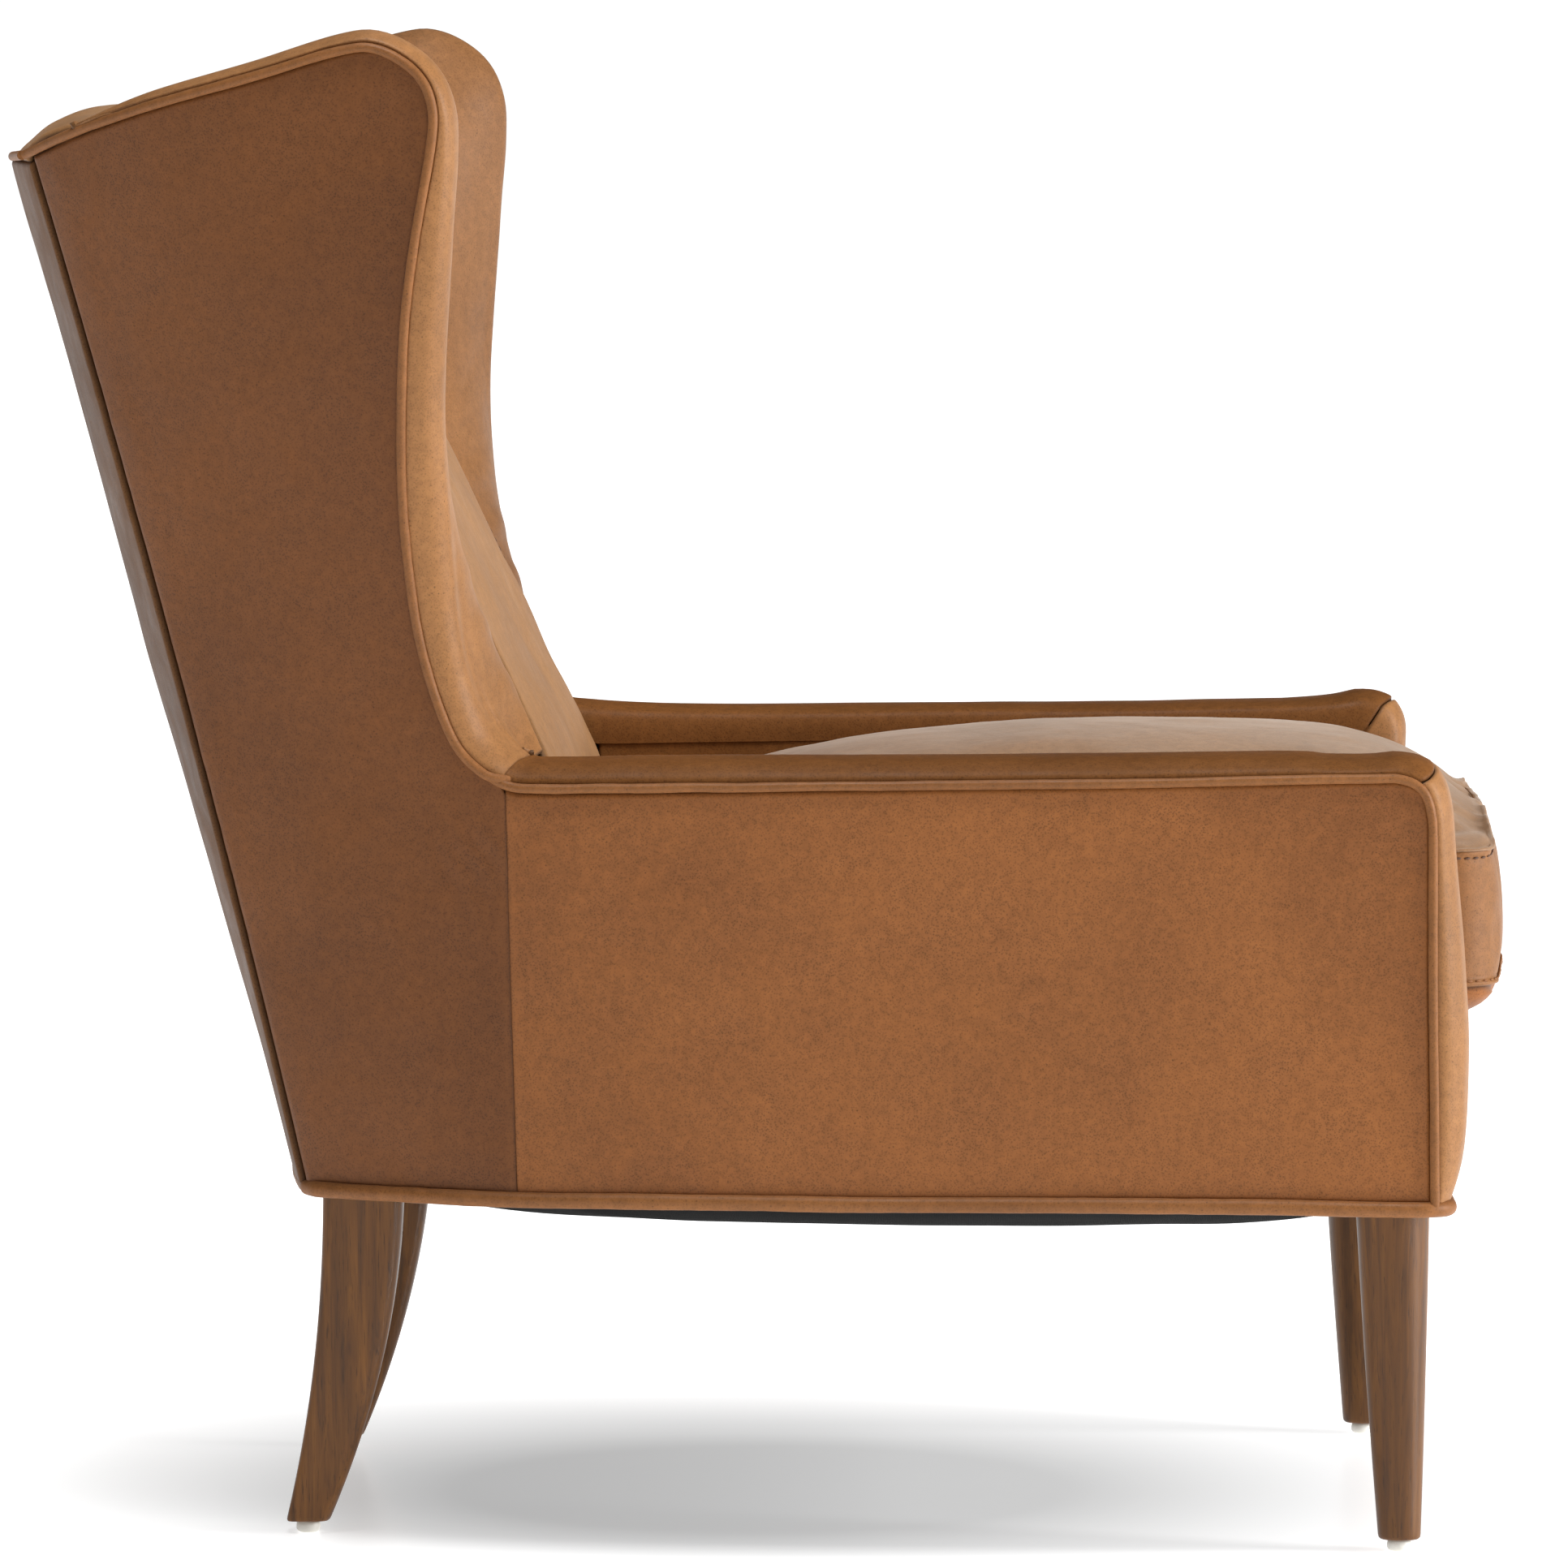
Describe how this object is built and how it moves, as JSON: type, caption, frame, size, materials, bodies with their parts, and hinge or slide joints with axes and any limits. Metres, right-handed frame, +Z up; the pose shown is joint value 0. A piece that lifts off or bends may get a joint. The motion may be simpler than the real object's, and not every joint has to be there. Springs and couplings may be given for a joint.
{
  "type": "upholstered wing armchair",
  "caption": "Leather wing armchair with low arms, welted seams, a loose box seat cushion, turned tapered front legs and swept back legs.",
  "frame": {"origin": "on the floor under the middle of the chair's bounding box", "axes": "+Z up, the chair faces -Y, +X is the sitter's left"},
  "size_m": [0.7974, 0.9735, 0.9575],
  "materials": {
    "leather_outside": "pebbled pull-up leather, semi-matt, tobacco brown",
    "leather_pad": "pebbled pull-up leather, soft sheen, tan",
    "leather_welt": "leather wrapped cord, semi-matt",
    "leather_cushion": "pebbled pull-up leather, soft sheen, light tan",
    "walnut": "satin lacquered walnut stain",
    "nylon": "moulded, slightly translucent white",
    "black_cloth": "non-woven black dust cloth",
    "beech": "unfinished hardwood and plywood",
    "steel": "drawn wire and zinc plated",
    "jute": "woven webbing",
    "foam": "upholstery foam in wadding",
    "deck_cloth": "brown platform cloth over felt",
    "zip_tape": "woven tape with a coil zip"
  },
  "bodies": {
    "chair_frame": {"outside_arm_panel_left": "leather_outside", "outside_wing_panel_left": "leather_outside", "side_welt_left": "leather_welt", "arm_front_facing_left": "leather_pad", "arm_pad_left": "leather_pad", "inside_arm_panel_left": "leather_pad", "wing_pad_left": "leather_pad", "wing_board_left": "beech", "back_post_left": "beech", "side_seat_rail_left": "beech", "arm_post_left": "beech", "arm_rail_left": "beech", "front_corner_block_left": "beech", "back_corner_block_left": "beech", "front_leg_left": "walnut", "back_leg_left": "walnut", "front_glide_left": "nylon", "back_glide_left": "nylon", "leg_bolt_left": "steel", "outside_arm_panel_right": "leather_outside", "outside_wing_panel_right": "leather_outside", "side_welt_right": "leather_welt", "arm_front_facing_right": "leather_pad", "arm_pad_right": "leather_pad", "inside_arm_panel_right": "leather_pad", "wing_pad_right": "leather_pad", "wing_board_right": "beech", "back_post_right": "beech", "side_seat_rail_right": "beech", "arm_post_right": "beech", "arm_rail_right": "beech", "front_corner_block_right": "beech", "back_corner_block_right": "beech", "front_leg_right": "walnut", "back_leg_right": "walnut", "front_glide_right": "nylon", "back_glide_right": "nylon", "leg_bolt_right": "steel", "inside_back_pad": "leather_pad", "outside_back_panel": "leather_outside", "back_welt": "leather_welt", "front_rail_cover": "leather_pad", "hem_welt": "leather_welt", "dust_cover": "black_cloth", "front_seat_rail": "beech", "back_seat_rail": "beech", "crest_rail": "beech", "lower_back_rail": "beech", "seat_spring_1": "steel", "seat_spring_2": "steel", "seat_spring_3": "steel", "seat_spring_4": "steel", "back_webbing_1": "jute", "back_webbing_2": "jute", "deck_pad": "deck_cloth"},
    "seat_cushion": {"cushion_core": "foam", "cushion_top_panel": "leather_cushion", "cushion_bottom_panel": "leather_cushion", "cushion_boxing": "leather_cushion", "cushion_zip": "zip_tape"}
  },
  "joints": [
    {"name": "cushion_lift", "type": "slide", "parent": "chair_frame", "child": "seat_cushion", "axis": [0, 0, 1], "range_m": [0, 0.25]}
  ]
}
